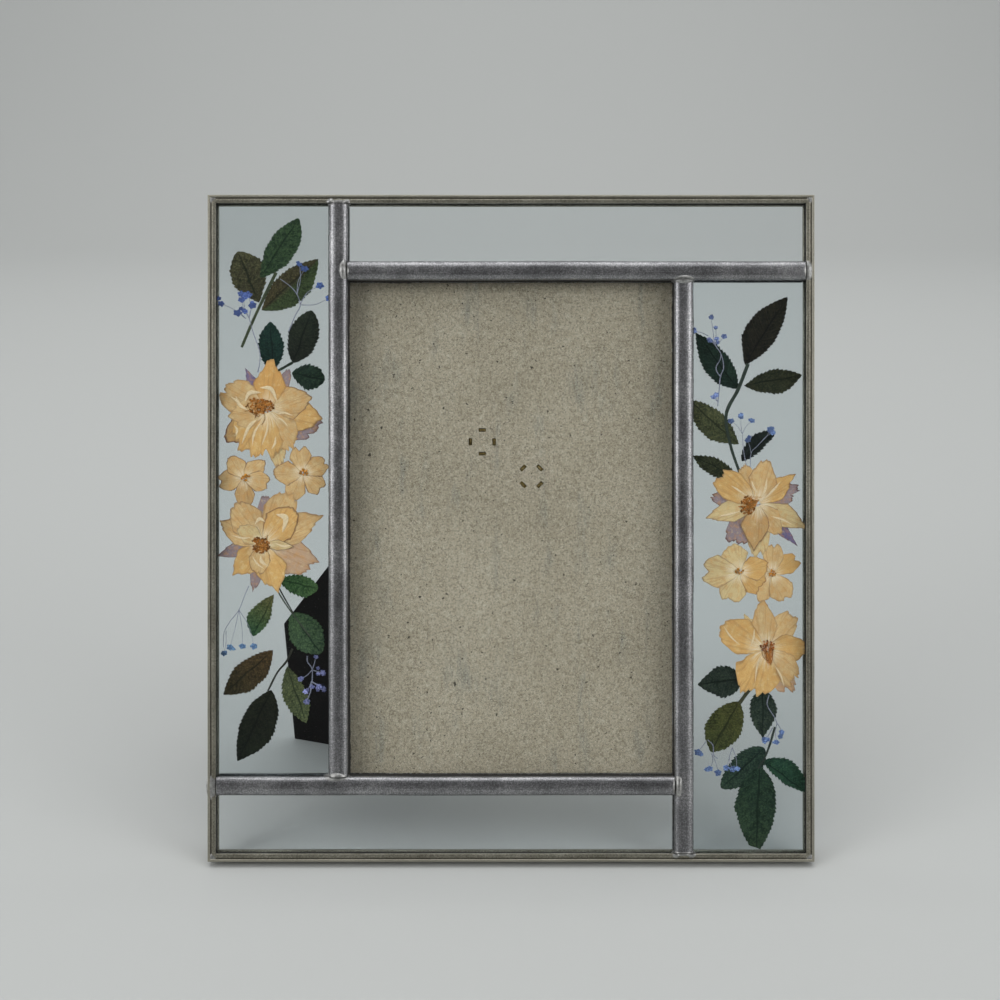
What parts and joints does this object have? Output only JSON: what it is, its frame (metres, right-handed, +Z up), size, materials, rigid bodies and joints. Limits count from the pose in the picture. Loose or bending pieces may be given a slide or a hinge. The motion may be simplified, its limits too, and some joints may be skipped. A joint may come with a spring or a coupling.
{
  "type": "pressed flower photo frame",
  "caption": "Leaded-glass picture frame with pressed rose flowers, leaflets and blue sprays between double side panes, leaning on a hinged easel leg.",
  "frame": {"origin": "on the table at the middle of the standing object's footprint", "axes": "+Z up, the glass front faces -Y and leans back towards +Y, +X to the right seen from the front"},
  "size_m": [0.182, 0.0916, 0.1942],
  "materials": {
    "border_came": "dull grey-olive came, brighter along its outer edge",
    "inner_came": "satin pewter grey, lightly scratched and pitted",
    "clear_glass": "clear, faintly cool",
    "greyboard": "matt speckled greyboard",
    "board_strip": "dull grey metal strip",
    "hinge_metal": "dull brassed steel",
    "easel_board": "black covered board, dusty",
    "leaflet": "matt dried leaf",
    "petal": "thin dried petal"
  },
  "bodies": {
    "frame": {"border_left": "border_came", "border_right": "border_came", "border_top": "border_came", "border_bottom": "border_came", "left_upright": "inner_came", "right_upright": "inner_came", "top_rail": "inner_came", "bottom_rail": "inner_came", "left_pane_front": "clear_glass", "left_pane_back": "clear_glass", "right_pane_front": "clear_glass", "right_pane_back": "clear_glass", "top_pane": "clear_glass", "bottom_pane": "clear_glass", "picture_pane": "clear_glass", "backing_board": "greyboard", "board_channel_left": "board_strip", "board_channel_right": "board_strip", "board_channel_bottom": "board_strip", "hinge_board_leaf": "hinge_metal", "hinge_pin": "hinge_metal", "board_rivet_upper": "hinge_metal", "board_rivet_lower": "hinge_metal", "leaflet_left_01": "leaflet", "leaflet_left_02": "leaflet", "leaflet_left_03": "leaflet", "leaflet_left_04": "leaflet", "leaflet_left_05": "leaflet", "leaflet_left_06": "leaflet", "leaflet_left_07": "leaflet", "leaflet_left_08": "leaflet", "leaflet_left_09": "leaflet", "leaflet_left_10": "leaflet", "leaflet_left_11": "leaflet", "leaflet_left_12": "leaflet", "leaflet_right_01": "leaflet", "leaflet_right_02": "leaflet", "leaflet_right_03": "leaflet", "leaflet_right_04": "leaflet", "leaflet_right_05": "leaflet", "leaflet_right_06": "leaflet", "leaflet_right_07": "leaflet", "leaflet_right_08": "leaflet", "leaflet_right_09": "leaflet", "leaflet_right_10": "leaflet", "leaflet_right_11": "leaflet", "leaflet_right_12": "leaflet", "flower_left_upper": "petal", "flower_left_outer": "petal", "flower_left_inner": "petal", "flower_left_lower": "petal", "flower_right_upper": "petal", "flower_right_inner": "petal", "flower_right_outer": "petal", "flower_right_lower": "petal"},
    "leg": {"easel_leg": "easel_board", "hinge_leg_leaf": "hinge_metal", "leg_rivet_left": "hinge_metal", "leg_rivet_right": "hinge_metal"}
  },
  "joints": [
    {"name": "easel_hinge", "type": "hinge", "parent": "frame", "child": "leg", "pos_m": [-0.0057, -0.00251, 0.10985], "axis": [-0.766, 0.1772, 0.6179], "range_deg": [0, 33]}
  ]
}
